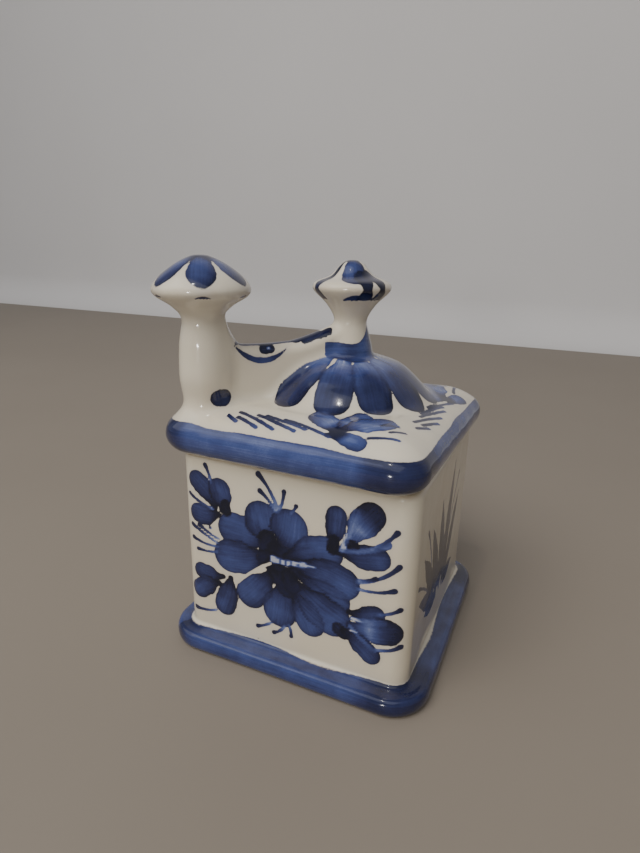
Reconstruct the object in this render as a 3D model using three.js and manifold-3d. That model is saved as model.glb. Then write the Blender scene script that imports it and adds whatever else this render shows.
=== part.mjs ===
// A lidded trinket box of slip-cast earthenware in the form of a hand coffee mill: a square box on a
// rolled plinth, and a lid whose roof carries the mill's bell, its finial, and a crank with an upright
// knob. Each of the two castings is one mesh, as each is one piece of clay. Millimetres, +Z up, with the
// origin on the table under the middle of the box. The crank points along the diagonal towards -X, -Y.
import * as THREE from "three";
import { mergeVertices } from "three/addons/utils/BufferGeometryUtils.js";
import Module from "manifold-3d";

// Box casting. A "half" is the distance from the middle to a flat side.
const WALL_HALF = 33;
const WALL_CORNER = 4.5;
const WALL_THICK = 4;
const RIM_Z = 58.4;
const RIM_ROUND = 1.4;
const FLOOR_Z = 5.5;
const FLOOR_FILLET = 3;
const PLINTH_HALF = 38.4;
const PLINTH_CORNER = 11;
const PLINTH_Z = 5.2;

// Lid casting. It rests a little askew, as far as the play round its locating rim lets it.
const SEAT_GAP = 0.3;
const LID_TURN = THREE.MathUtils.degToRad(-1.25);
const LID_SHIFT = new THREE.Vector3(-1.1, -1.3, 0);
const LID_HALF = 36.3;
const LID_CORNER = 8.5;
const LID_EDGE_R = 4.9;
const LOCATING_RIM_HALF = 26.4;
const LOCATING_RIM_DROP = 5;
const LID_WALL = 3.2;
const ROOF_Z = 72.6;
const HOLLOW_Z = 68;

// Bell and finial, which share an axis a little behind the middle of the lid.
const BELL_XY = 2.7;
const BELL_R = 24.6;
const BELL_TOP_Z = 83;
const COLLAR_R = 6.4;
const FINIAL_R = 10.8;
const FINIAL_Z = 108.1;

// Crank: an arm on a web along the diagonal, and an upright with its knob at the corner.
const UPRIGHT_XY = 26;
const KNOB_R = 12.3;
const KNOB_Z = 109.1;
const ARM_Z = 86.9;
const ARM_HALF_THICK = 3.6;
const WEB_HALF_FOOT = 10.5;

const ROUND_STEPS = 32;
const CORNER_STEPS = 5;
const CURVE_STEPS = 4;
const ARM_STEPS = 18;

const LID_SEAT_Z = RIM_Z + SEAT_GAP;
const LID_EDGE_Z = LID_SEAT_Z + LID_EDGE_R;
const UPRIGHT_S = UPRIGHT_XY * Math.SQRT2;
const BURIED_Z = 64.5;
const AXIS_HALF = 1;

const wasm = await Module();
wasm.setup();

// ---------------------------------------------------------------- geometry helpers

// A closed surface through rings of equally many points, with a fan over each end.
function loft(rings) {
  const n = rings[0].length;
  const points = rings.flat();
  const lastRing = points.length - n;
  const index = [];
  for (let start = 0; start < lastRing; start += n) {
    for (let i = 0; i < n; i++) {
      const a = start + i;
      const b = start + ((i + 1) % n);
      index.push(a, b, b + n, a, b + n, a + n);
    }
  }
  for (const first of [0, lastRing]) {
    const middle = new THREE.Vector3();
    points.slice(first, first + n).forEach((p) => middle.addScaledVector(p, 1 / n));
    const m = points.push(middle) - 1;
    for (let i = 0; i < n; i++) {
      const a = first + i;
      const b = first + ((i + 1) % n);
      index.push(...(first === 0 ? [m, b, a] : [m, a, b]));
    }
  }
  return new THREE.BufferGeometry().setFromPoints(points).setIndex(index);
}

// A level square with round corners, anticlockwise as seen from above.
function squareRing(half, corner, z) {
  const ring = [];
  for (let quarter = 0; quarter < 4; quarter++) {
    for (let i = 0; i <= CORNER_STEPS; i++) {
      const angle = ((i / CORNER_STEPS) * Math.PI) / 2;
      const point = new THREE.Vector2(
        half - corner + corner * Math.cos(angle),
        half - corner + corner * Math.sin(angle),
      );
      point.rotateAround(new THREE.Vector2(), (quarter * Math.PI) / 2);
      ring.push(new THREE.Vector3(point.x, point.y, z));
    }
  }
  return ring;
}

// A profile of (half, z) points swept round a square whose corners follow cornerAt(half).
function squareTurned(profile, cornerAt) {
  return solid(loft(profile.getPoints(CURVE_STEPS).map((p) => squareRing(p.x, cornerAt(p.x), p.y))));
}

// A profile of (radius, z) points turned about the vertical through (xy, xy).
function turned(points, xy) {
  const lathe = new THREE.LatheGeometry(points, ROUND_STEPS);
  return solid(lathe.rotateX(Math.PI / 2).translate(xy, xy, 0));
}

// A turned shape's profile: a smooth curve through (radius, z) points, closed on to the axis.
function smoothProfile(...points) {
  const curve = new THREE.SplineCurve(points.map(([r, z]) => new THREE.Vector2(r, z)));
  const profile = curve.getPoints(2 * points.length);
  return [
    new THREE.Vector2(0, profile[0].y),
    ...profile,
    new THREE.Vector2(0, profile.at(-1).y),
  ];
}

function manifoldOf(vertProperties, triVerts) {
  return new wasm.Manifold(new wasm.Mesh({ numProp: 3, vertProperties, triVerts }));
}

// A closed geometry as a solid, whichever way round its faces were made.
function solid(geometry) {
  const bare = geometry.clone();
  bare.deleteAttribute("normal");
  bare.deleteAttribute("uv");
  const merged = mergeVertices(bare, 1e-4);
  const places = new Float32Array(merged.attributes.position.array);
  const triangles = new Uint32Array(merged.index.array);
  const made = manifoldOf(places, triangles);
  return made.volume() > 0 ? made : manifoldOf(places, triangles.reverse());
}

function meshOf(name, manifold, material) {
  const { vertProperties, triVerts } = manifold.getMesh();
  const geometry = new THREE.BufferGeometry();
  geometry.setAttribute("position", new THREE.BufferAttribute(vertProperties, 3));
  geometry.setIndex(new THREE.BufferAttribute(triVerts, 1));
  geometry.computeVertexNormals();
  const mesh = new THREE.Mesh(geometry, material);
  mesh.name = name;
  return mesh;
}

// ---------------------------------------------------------------- box casting

// The wall's corners are tight, and the plinth's open out below them.
function boxCorner(half) {
  const spread = (PLINTH_CORNER - WALL_CORNER) / (PLINTH_HALF - WALL_HALF);
  const corner = WALL_CORNER + (half - WALL_HALF) * (half > WALL_HALF ? spread : 1);
  return Math.max(corner, Math.min(1.5, half / 2));
}

function boxBody() {
  const inner = WALL_HALF - WALL_THICK;
  const profile = new THREE.Path();
  profile.moveTo(AXIS_HALF, 0);
  profile.lineTo(PLINTH_HALF - 2.4, 0);
  profile.quadraticCurveTo(PLINTH_HALF, 0, PLINTH_HALF, PLINTH_Z / 2);
  profile.quadraticCurveTo(PLINTH_HALF, PLINTH_Z, PLINTH_HALF - 2.4, PLINTH_Z);
  profile.quadraticCurveTo(WALL_HALF + 0.2, PLINTH_Z + 0.2, WALL_HALF, PLINTH_Z + 1);
  profile.lineTo(WALL_HALF, RIM_Z - RIM_ROUND);
  profile.quadraticCurveTo(WALL_HALF, RIM_Z, WALL_HALF - RIM_ROUND, RIM_Z);
  profile.lineTo(inner + 1, RIM_Z);
  profile.quadraticCurveTo(inner, RIM_Z, inner, RIM_Z - 1);
  profile.lineTo(inner, FLOOR_Z + FLOOR_FILLET);
  profile.quadraticCurveTo(inner, FLOOR_Z, inner - FLOOR_FILLET, FLOOR_Z);
  profile.lineTo(AXIS_HALF, FLOOR_Z);
  return squareTurned(profile, boxCorner);
}

// ---------------------------------------------------------------- lid casting

function lidCorner(half) {
  return Math.max(LID_CORNER + (half - LID_HALF) * 0.8, Math.min(2, half / 2));
}

// The roof slab with its rolled edge, and the block that the locating rim is hollowed from.
function roofSlab() {
  const bottom = LID_SEAT_Z - LOCATING_RIM_DROP;
  const seatHalf = LID_HALF - LID_EDGE_R;
  const profile = new THREE.Path();
  profile.moveTo(AXIS_HALF, bottom);
  profile.lineTo(LOCATING_RIM_HALF - 1, bottom);
  profile.lineTo(LOCATING_RIM_HALF, bottom + 1);
  profile.lineTo(LOCATING_RIM_HALF, LID_SEAT_Z);
  profile.lineTo(seatHalf, LID_SEAT_Z);
  profile.absarc(seatHalf, LID_EDGE_Z, LID_EDGE_R, -Math.PI / 2, Math.PI / 3, false);
  profile.quadraticCurveTo(30.5, ROOF_Z - 2.2, 24, ROOF_Z - 1);
  profile.lineTo(AXIS_HALF, ROOF_Z);
  return squareTurned(profile, lidCorner);
}

// What the slip leaves hollow: the space inside the locating rim, under the roof and in the bell.
function lidHollow() {
  const half = LOCATING_RIM_HALF - LID_WALL;
  const mouthZ = LID_SEAT_Z - LOCATING_RIM_DROP - 1;
  const profile = new THREE.Path();
  profile.moveTo(AXIS_HALF, mouthZ);
  profile.lineTo(half, mouthZ);
  profile.lineTo(half, HOLLOW_Z - 2.6);
  profile.quadraticCurveTo(half, HOLLOW_Z, half - 2.6, HOLLOW_Z);
  profile.lineTo(AXIS_HALF, HOLLOW_Z);
  const underBell = smoothProfile([19, HOLLOW_Z - 2], [18.6, 71], [15, 75.2], [8, 78.2], [2, 79]);
  return squareTurned(profile, lidCorner).add(turned(underBell, BELL_XY));
}

function bell() {
  const dome = smoothProfile(
    [BELL_R, BURIED_Z],
    [BELL_R, ROOF_Z - 1.6],
    [22.4, 73],
    [19.2, 76.6],
    [14.4, 80.2],
    [COLLAR_R, BELL_TOP_Z],
  );
  return turned(dome, BELL_XY);
}

// The soft collar over the bell, the waisted neck, a spreading cap, and a round crown on the cap.
function finial() {
  const profile = smoothProfile(
    [COLLAR_R - 1.4, BELL_TOP_Z - 2],
    [COLLAR_R, BELL_TOP_Z + 1.2],
    [5.4, 88.4],
    [4.6, 92.4],
    [6.6, 96.2],
    [FINIAL_R - 0.8, 99.6],
    [FINIAL_R, 101.2],
    [FINIAL_R - 1.2, 102.7],
    [5.9, 104.2],
    [3.3, 107],
    [1, FINIAL_Z],
  );
  return turned(profile, BELL_XY);
}

// The upright swells where the arm meets it, narrows below, and spreads on to the roof.
function uprightAndKnob() {
  const profile = smoothProfile(
    [8.6, BURIED_Z],
    [7.2, 67.6],
    [5.6, 71.7],
    [6.9, 79],
    [6.2, 87],
    [5.3, 93.4],
    [7.6, 96.6],
    [KNOB_R - 0.8, 99.2],
    [KNOB_R, 101.3],
    [KNOB_R - 1.7, 104.3],
    [6.2, 107.6],
    [1.2, KNOB_Z],
  );
  return turned(profile, -UPRIGHT_XY);
}

// The arm's ridge at a distance s from the middle: it rises to the finial and to the upright.
function ridgeZ(s) {
  const nearFinial = Math.max(0, 1 - s / 14);
  const nearUpright = Math.max(0, 1 - (UPRIGHT_S - s) / 10);
  return ARM_Z + 4.6 * nearFinial ** 1.4 + Math.min(30 * nearUpright ** 2, 6);
}

// The arm and its web in section: round on top, upright at the sides, and flared on to the roof.
function armRing(s) {
  const top = ridgeZ(s);
  const t = ARM_HALF_THICK;
  const section = new THREE.Path();
  section.moveTo(-WEB_HALF_FOOT, BURIED_Z);
  section.lineTo(WEB_HALF_FOOT, BURIED_Z);
  section.quadraticCurveTo(t - 0.6, 71, t - 0.4, 79);
  section.quadraticCurveTo(t + 0.4, top, 0, top);
  section.quadraticCurveTo(-t - 0.4, top, -t + 0.4, 79);
  section.quadraticCurveTo(-t + 0.6, 71, -WEB_HALF_FOOT, BURIED_Z);
  const towardsUpright = new THREE.Vector3(-1, -1, 0).normalize();
  const across = new THREE.Vector3(1, -1, 0).normalize();
  const points = section.getPoints(CURVE_STEPS).slice(0, -1);
  return points.map((p) =>
    new THREE.Vector3(0, 0, p.y).addScaledVector(across, p.x).addScaledVector(towardsUpright, s),
  );
}

function arm() {
  const rings = [];
  for (let i = 0; i <= ARM_STEPS; i++) {
    rings.push(armRing((UPRIGHT_S * i) / ARM_STEPS));
  }
  return solid(loft(rings));
}

function lid() {
  return [bell(), finial(), arm(), uprightAndKnob()]
    .reduce((whole, piece) => whole.add(piece), roofSlab())
    .subtract(lidHollow());
}

// ---------------------------------------------------------------- assembly

const creamGlaze = new THREE.MeshStandardMaterial({ color: 0xe6dcc4, roughness: 0.15, metalness: 0 });
const blueOverCream = new THREE.MeshStandardMaterial({ color: 0xb9bccb, roughness: 0.15, metalness: 0 });

const restingLid = new THREE.Group();
restingLid.position.copy(LID_SHIFT);
restingLid.rotation.z = LID_TURN;
restingLid.add(meshOf("lid", lid(), blueOverCream));

const trinketBox = new THREE.Group();
trinketBox.add(meshOf("box_body", boxBody(), creamGlaze));
trinketBox.add(restingLid);

export default trinketBox;
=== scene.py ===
"""A lidded trinket box of slip-cast earthenware in the form of a hand coffee mill, painted in cobalt.

Two castings: the box, whose wall, plinth and foot are one section carried round a rounded square, and
the lid, which is modelled as a potter would, by blending bell, finial, crank and upright into the roof.
The painting is laid on each casting stroke by stroke. Sizes are in millimetres until a mesh is made.
"""

import math

import bmesh
import bpy
import numpy as np
from mathutils import Matrix, Vector


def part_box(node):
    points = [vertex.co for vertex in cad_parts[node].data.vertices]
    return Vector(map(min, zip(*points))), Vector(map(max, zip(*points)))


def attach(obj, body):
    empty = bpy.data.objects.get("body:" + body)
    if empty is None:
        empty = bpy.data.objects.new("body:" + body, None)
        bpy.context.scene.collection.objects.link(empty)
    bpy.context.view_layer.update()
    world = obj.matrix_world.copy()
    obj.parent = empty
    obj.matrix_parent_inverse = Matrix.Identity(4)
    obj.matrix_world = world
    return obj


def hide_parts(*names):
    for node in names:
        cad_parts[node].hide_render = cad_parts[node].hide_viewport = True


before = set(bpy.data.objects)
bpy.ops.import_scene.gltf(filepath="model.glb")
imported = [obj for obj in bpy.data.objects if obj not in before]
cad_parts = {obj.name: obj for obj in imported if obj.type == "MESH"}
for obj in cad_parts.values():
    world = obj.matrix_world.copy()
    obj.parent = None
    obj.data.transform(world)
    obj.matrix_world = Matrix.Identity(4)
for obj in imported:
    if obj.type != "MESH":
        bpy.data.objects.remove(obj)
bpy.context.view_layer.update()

MM = 0.001

# ------------------------------------------------------------------ sizes, in millimetres

# Box casting. A "half" is the distance from the middle to a flat side.
BOX_HIGH = np.array(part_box("box_body")[1]) / MM
LID_HIGH = np.array(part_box("lid")[1]) / MM
PLINTH_HALF = BOX_HIGH[0]
RIM_Z = BOX_HIGH[2]
WALL_HALF = 33.0
WALL_CORNER = 4.5
WALL_THICK = 4.0
FLOOR_Z = 5.5
PLINTH_CORNER = 11.0
PLINTH_Z = 5.2
FOOT_RING_HALF = 30.0
FOOT_RECESS = 0.9
POINTS_ROUND = 496
WALL_STEP = 0.5

# Lid casting, in its own frame: the lid rests turned and shifted by the play round its locating rim.
LID_TURN = math.radians(-1.25)
LID_SHIFT = np.array([-1.1, -1.3])
LID_HALF = 36.3
LID_CORNER = 8.5
LID_EDGE_R = 4.9
LID_SEAT_Z = RIM_Z + 0.3
LID_EDGE_Z = LID_SEAT_Z + LID_EDGE_R
LOCATING_RIM_HALF = 26.4
LOCATING_RIM_DROP = 5.0
LID_WALL = 3.2
ROOF_Z = 72.6
HOLLOW_Z = 68.0
BELL_XY = 2.7
BELL_R = 24.6
BELL_TOP_Z = 83.0
COLLAR_R = 6.4
FINIAL_R = 10.8
FINIAL_Z = 108.1
UPRIGHT_XY = 26.0
UPRIGHT_S = UPRIGHT_XY * math.sqrt(2)
BELL_S = -BELL_XY * math.sqrt(2)
KNOB_R = 12.3
KNOB_Z = LID_HIGH[2]
ARM_Z = 86.9
ARM_R = 3.3
BURIED_Z = 64.5
CLAY_STEP = 0.52
CLAY_LOW = np.array([-39.0, -39.0, 52.6])
CLAY_HIGH = np.array([39.0, 39.0, 110.6])
KNOT_STEPS = 10


# ------------------------------------------------------------------ outlines and fields


class Outline:
    """A drawn section: (half or radius, height) points along straight and curved stretches."""

    def __init__(self, across, height):
        self.points = [(across, height)]

    def line(self, across, height, step=1.0):
        start = np.array(self.points[-1])
        end = np.array([across, height])
        count = max(1, round(np.linalg.norm(end - start) / step))
        self.points += [tuple(start + (end - start) * i / count) for i in range(1, count + 1)]
        return self

    def curve(self, pull_across, pull_height, across, height, step=0.4):
        start, pull = np.array(self.points[-1]), np.array([pull_across, pull_height])
        end = np.array([across, height])
        length = np.linalg.norm(pull - start) + np.linalg.norm(end - pull)
        count = max(3, round(length / step))
        for i in range(1, count + 1):
            t = i / count
            self.points.append(tuple((1 - t) ** 2 * start + 2 * t * (1 - t) * pull + t * t * end))
        return self

    def roll(self, across, height, radius, from_angle, to_angle, step=0.4):
        count = max(4, round(abs(to_angle - from_angle) * radius / step))
        for i in range(count + 1):
            angle = from_angle + (to_angle - from_angle) * i / count
            self.points.append((across + radius * math.cos(angle), height + radius * math.sin(angle)))
        return self


def smooth_outline(*knots):
    """A smooth line through (radius, height) knots, as a turner's template has."""
    p = np.array([knots[0], *knots, knots[-1]], float)
    t = np.linspace(0, 1, KNOT_STEPS, endpoint=False)[:, None]
    line = []
    for a, b, c, d in zip(p, p[1:], p[2:], p[3:]):
        square = (2 * a - 5 * b + 4 * c - d) * t**2
        cube = (3 * b - a - 3 * c + d) * t**3
        line.append(0.5 * (2 * b + (c - a) * t + square + cube))
    return [tuple(q) for q in np.concatenate(line)] + [tuple(knots[-1])]


class Field:
    """Signed distance to a closed section, negative in the clay, tabulated over (across, height)."""

    STEP = 0.2
    FAR_ACROSS = 58.0
    LOW = 50.0
    HIGH = 113.0

    def __init__(self, points):
        half = np.array(points, float)
        ring = np.concatenate([half, half[::-1] * (-1, 1)])
        a = np.arange(0, self.FAR_ACROSS, self.STEP)
        z = np.arange(self.LOW, self.HIGH, self.STEP)
        grid_a, grid_z = np.meshgrid(a, z, indexing="ij")
        nearest = np.full(grid_a.shape, 1e9)
        inside = np.zeros(grid_a.shape, bool)
        for (ax, az), (bx, bz) in zip(ring, np.roll(ring, -1, axis=0)):
            dx, dz = bx - ax, bz - az
            if dx * dx + dz * dz < 1e-12:
                continue
            t = np.clip(((grid_a - ax) * dx + (grid_z - az) * dz) / (dx * dx + dz * dz), 0, 1)
            nearest = np.minimum(nearest, (grid_a - ax - t * dx) ** 2 + (grid_z - az - t * dz) ** 2)
            if az != bz:
                crosses = (az > grid_z) != (bz > grid_z)
                inside ^= crosses & (grid_a < ax + (grid_z - az) * dx / dz)
        self.table = np.sqrt(nearest) * np.where(inside, -1, 1)

    def __call__(self, across, height):
        i = np.clip(across / self.STEP, 0, self.table.shape[0] - 1.001)
        j = np.clip((height - self.LOW) / self.STEP, 0, self.table.shape[1] - 1.001)
        i0, j0 = i.astype(np.int32), j.astype(np.int32)
        fi, fj = i - i0, j - j0
        t = self.table
        below = t[i0, j0] * (1 - fi) + t[i0 + 1, j0] * fi
        above = t[i0, j0 + 1] * (1 - fi) + t[i0 + 1, j0 + 1] * fi
        return below * (1 - fj) + above * fj


def blend_clay(a, b, reach):
    """Two lumps of clay joined, with the join smoothed over by reach."""
    h = np.clip(0.5 + 0.5 * (b - a) / reach, 0, 1)
    return b + (a - b) * h - reach * h * (1 - h)


def smoothstep(low, high, x):
    t = np.clip((x - low) / (high - low), 0, 1)
    return t * t * (3 - 2 * t)


def hand_wobble(x, y, z, scale, seed):
    """A slow unevenness from -1 to 1, as a hand leaves it, that repeats the same on every run."""
    a = np.sin(x / scale * 1.9 + 1.3 * seed + 1.1 * np.sin(y / scale * 1.3 + seed))
    b = np.sin(y / scale * 2.3 + 2.1 * seed + 1.3 * np.sin(z / scale * 1.7 + 0.7 * seed))
    c = np.sin(z / scale * 2.1 + 0.9 * seed + 1.2 * np.sin(x / scale * 1.5 + 1.9 * seed))
    return (a + b + c) / 3


# ------------------------------------------------------------------ mesh making


def add_object(name, data):
    made = bpy.data.objects.new(name, data)
    bpy.context.scene.collection.objects.link(made)
    return made


def mesh_piece(name, places, faces, material):
    """A shaded mesh object from places in millimetres."""
    mesh = bpy.data.meshes.new(name)
    mesh.from_pydata((places * MM).tolist(), [], faces.tolist())
    mesh.materials.append(material)
    mesh.update()
    mesh.shade_smooth()
    return add_object(name, mesh)


def places_of(piece):
    places = np.empty(len(piece.data.vertices) * 3, np.float32)
    piece.data.vertices.foreach_get("co", places)
    return places.reshape(-1, 3).astype(float) / MM


def store(piece, name, values):
    attribute = piece.data.attributes.new(name, "FLOAT", "POINT")
    attribute.data.foreach_set("value", np.asarray(values, np.float32))


# ------------------------------------------------------------------ node groups


class NodeGroup:
    """A node group being built: its sockets, and short ways to add and join nodes."""

    def __init__(self, name, tree_kind, inputs, outputs):
        self.tree = bpy.data.node_groups.new(name, tree_kind)
        face = self.tree.interface
        for label, kind, value in inputs:
            socket = face.new_socket(label, in_out="INPUT", socket_type="NodeSocket" + kind)
            if value is not None:
                socket.default_value = value
        for label, kind in outputs:
            face.new_socket(label, in_out="OUTPUT", socket_type="NodeSocket" + kind)
        self.given = self.tree.nodes.new("NodeGroupInput").outputs
        self.out = self.tree.nodes.new("NodeGroupOutput").inputs

    def node(self, kind, **settings):
        made = self.tree.nodes.new(kind)
        for key, value in settings.items():
            setattr(made, key, value)
        return made

    def plug(self, socket, value):
        if isinstance(value, bpy.types.NodeSocket):
            self.tree.links.new(value, socket)
        else:
            socket.default_value = value

    def fed(self, kind, *values, **settings):
        """The outputs of a node whose first inputs take the values in turn."""
        made = self.node(kind, **settings)
        for socket, value in zip(made.inputs, values):
            self.plug(socket, value)
        return made.outputs

    def maths(self, operation, *values):
        return self.fed("ShaderNodeMath", *values, operation=operation)[0]

    def vectors(self, operation, *values):
        return self.fed("ShaderNodeVectorMath", *values, operation=operation)["Vector"]

    def scaled(self, vector, factor):
        made = self.node("ShaderNodeVectorMath", operation="SCALE")
        self.plug(made.inputs[0], vector)
        self.plug(made.inputs["Scale"], factor)
        return made.outputs["Vector"]

    def combine(self, x, y, z):
        return self.fed("ShaderNodeCombineXYZ", x, y, z)[0]

    def noise(self, place, scale, detail=2.0, roughness=0.5):
        """Noise centred on zero, about -0.5 to 0.5."""
        made = self.node("ShaderNodeTexNoise")
        self.plug(made.inputs["Vector"], place)
        made.inputs["Scale"].default_value = scale
        made.inputs["Detail"].default_value = detail
        made.inputs["Roughness"].default_value = roughness
        return self.maths("SUBTRACT", made.outputs[0], 0.5)

    def ease(self, value, low, high, to_low=0.0, to_high=1.0):
        ends = (value, low, high, to_low, to_high)
        return self.fed("ShaderNodeMapRange", *ends, interpolation_type="SMOOTHSTEP")[0]

    def mix(self, share, a, b):
        made = self.node("ShaderNodeMix", data_type="RGBA", blend_type="MIX")
        self.plug(made.inputs[0], share)
        self.plug(made.inputs[6], a)
        self.plug(made.inputs[7], b)
        return made.outputs[2]


# ------------------------------------------------------------------ box casting


def capture(group, geometry, field, kind):
    """Keeps a field's value on the geometry, and gives back both."""
    made = group.node("GeometryNodeCaptureAttribute", domain="POINT")
    made.capture_items.new(kind, "kept")
    group.plug(made.inputs[0], geometry)
    group.plug(made.inputs[1], field)
    return made.outputs[0], made.outputs[1]


def swept_section(group):
    """The section carried round a circle, each point's place in the section, and its turn."""
    section = group.node("GeometryNodeMeshToCurve")
    group.plug(section.inputs["Mesh"], group.given["Section"])
    position = group.node("GeometryNodeInputPosition").outputs[0]
    section, place = capture(group, section.outputs[0], position, "VECTOR")
    circle = group.node("GeometryNodeCurvePrimitiveCircle", mode="RADIUS")
    group.plug(circle.inputs["Resolution"], group.given["Points Round"])
    factor = group.node("GeometryNodeSplineParameter").outputs["Factor"]
    circle, turn = capture(group, circle.outputs[0], factor, "FLOAT")
    sweep = group.node("GeometryNodeCurveToMesh")
    group.plug(sweep.inputs["Curve"], circle)
    group.plug(sweep.inputs["Profile Curve"], section)
    return sweep.outputs[0], place, turn


def corner_radius(group, half):
    """The plinth's corners open out from the wall's, and the inner ones draw in."""
    given, maths = group.given, group.maths
    beyond = maths("SUBTRACT", half, given["Wall Half"])
    opening = maths("SUBTRACT", given["Plinth Corner"], given["Wall Corner"])
    spread = maths("DIVIDE", opening, maths("SUBTRACT", given["Plinth Half"], given["Wall Half"]))
    opened = maths("MULTIPLY", maths("MAXIMUM", beyond, 0.0), spread)
    closed = maths("MINIMUM", beyond, 0.0)
    corner = maths("ADD", given["Wall Corner"], maths("ADD", opened, closed))
    smallest = maths("MINIMUM", given["Smallest Corner"], maths("MULTIPLY", half, 0.5))
    return maths("MAXIMUM", corner, smallest)


def place_round_square(group, half, height, turn):
    """Where a point of the section lies once it is carried round the square."""
    maths = group.maths
    corner = corner_radius(group, half)
    side = maths("MULTIPLY", turn, 4.0)
    sideways = maths("SUBTRACT", maths("MULTIPLY", maths("FRACT", side), 2.0), 1.0)
    along = maths("MULTIPLY", half, sideways)
    flat = maths("SUBTRACT", half, corner)
    on_flat = maths("MAXIMUM", maths("MINIMUM", along, flat), maths("MULTIPLY", flat, -1.0))
    core = group.combine(flat, on_flat, 0.0)
    outward = group.vectors("NORMALIZE", group.combine(corner, maths("SUBTRACT", along, on_flat), 0.0))
    rotate = group.node("ShaderNodeVectorRotate", rotation_type="Z_AXIS")
    group.plug(rotate.inputs["Vector"], group.vectors("ADD", core, group.scaled(outward, corner)))
    group.plug(rotate.inputs["Angle"], maths("MULTIPLY", maths("FLOOR", side), math.pi / 2))
    return group.vectors("ADD", rotate.outputs[0], group.combine(0.0, 0.0, height))


def uneven_surface(group, geometry):
    """Pushes the surface in and out a little, as a hand-finished casting is."""
    noise = group.node("ShaderNodeTexNoise", noise_dimensions="4D")
    group.plug(noise.inputs["Vector"], group.node("GeometryNodeInputPosition").outputs[0])
    group.plug(noise.inputs["W"], group.given["Seed"])
    group.plug(noise.inputs["Scale"], group.given["Wobbles Per Metre"])
    noise.inputs["Detail"].default_value = 1.0
    centred = group.maths("SUBTRACT", noise.outputs[0], 0.5)
    depth = group.maths("MULTIPLY", centred, group.given["Hand Wobble"])
    pushed = group.node("GeometryNodeSetPosition")
    group.plug(pushed.inputs["Geometry"], geometry)
    normal = group.node("GeometryNodeInputNormal").outputs[0]
    group.plug(pushed.inputs["Offset"], group.scaled(normal, depth))
    return pushed.outputs[0]


def casting_tree():
    """Geometry Nodes: carries a section round a square whose corner radius follows the section."""
    inputs = (
        ("Section", "Geometry", None),
        ("Wall Half", "Float", WALL_HALF * MM),
        ("Wall Corner", "Float", WALL_CORNER * MM),
        ("Plinth Half", "Float", PLINTH_HALF * MM),
        ("Plinth Corner", "Float", PLINTH_CORNER * MM),
        ("Smallest Corner", "Float", 1.5 * MM),
        ("Hand Wobble", "Float", 0.28 * MM),
        ("Wobbles Per Metre", "Float", 38.0),
        ("Seed", "Float", 7.0),
        ("Points Round", "Int", POINTS_ROUND),
        ("Glaze", "Material", None),
    )
    group = NodeGroup("section_round_a_square", "GeometryNodeTree", inputs, (("Casting", "Geometry"),))
    swept, place, turn = swept_section(group)
    half, _, height = group.fed("ShaderNodeSeparateXYZ", place)
    laid = group.node("GeometryNodeSetPosition")
    group.plug(laid.inputs["Geometry"], swept)
    group.plug(laid.inputs["Position"], place_round_square(group, half, height, turn))
    weld = group.node("GeometryNodeMergeByDistance")
    group.plug(weld.inputs["Geometry"], laid.outputs[0])
    weld.inputs["Distance"].default_value = 1e-6
    real = group.fed("GeometryNodeRealizeInstances", uneven_surface(group, weld.outputs[0]))
    glaze = group.node("GeometryNodeSetMaterial")
    group.plug(glaze.inputs["Geometry"], real[0])
    group.plug(glaze.inputs["Material"], group.given["Glaze"])
    group.plug(group.out["Casting"], glaze.outputs[0])
    return group.tree


def box_section():
    """From the middle of the underside, out round the foot and plinth, up the wall, in and down."""
    inner = WALL_HALF - WALL_THICK
    foot = PLINTH_HALF - 2.4
    section = Outline(0.4, FOOT_RECESS).line(FOOT_RING_HALF - 1.2, FOOT_RECESS, step=4.2)
    section.curve(FOOT_RING_HALF - 0.3, FOOT_RECESS, FOOT_RING_HALF, 0.0).line(foot, 0.0, step=2.0)
    section.curve(PLINTH_HALF, 0.1, PLINTH_HALF, PLINTH_Z / 2)
    section.curve(PLINTH_HALF, PLINTH_Z, PLINTH_HALF - 2.2, PLINTH_Z)
    section.curve(WALL_HALF + 0.4, PLINTH_Z + 0.2, WALL_HALF, PLINTH_Z + 1.2)
    section.line(WALL_HALF, RIM_Z - 1.6, step=WALL_STEP)
    section.curve(WALL_HALF, RIM_Z, WALL_HALF - 1.5, RIM_Z)
    section.line(inner + 1.1, RIM_Z, step=0.8).curve(inner, RIM_Z, inner, RIM_Z - 1.1)
    section.line(inner, FLOOR_Z + 3.5, step=7.0)
    section.curve(inner, FLOOR_Z, inner - 3.5, FLOOR_Z, step=1.0)
    section.line(0.4, FLOOR_Z, step=5.0)
    return section.points


def box_casting(glaze):
    points = box_section()
    mesh = bpy.data.meshes.new("box_section")
    edges = [(i, i + 1) for i in range(len(points) - 1)]
    mesh.from_pydata([(half * MM, 0, z * MM) for half, z in points], edges, [])
    drawn = add_object("box_section", mesh)
    tree = casting_tree()
    sweep = drawn.modifiers.new("casting", "NODES")
    sweep.node_group = tree
    for item in tree.interface.items_tree:
        if item.item_type == "SOCKET" and item.name == "Glaze":
            sweep[item.identifier] = glaze
    evaluated = drawn.evaluated_get(bpy.context.evaluated_depsgraph_get())
    made = bpy.data.meshes.new_from_object(evaluated)
    bpy.data.objects.remove(drawn)
    made.name = "box_casting"
    for attribute in [a.name for a in made.attributes if a.name == "kept"]:
        made.attributes.remove(made.attributes[attribute])
    return close_and_turn_out(made)


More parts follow.
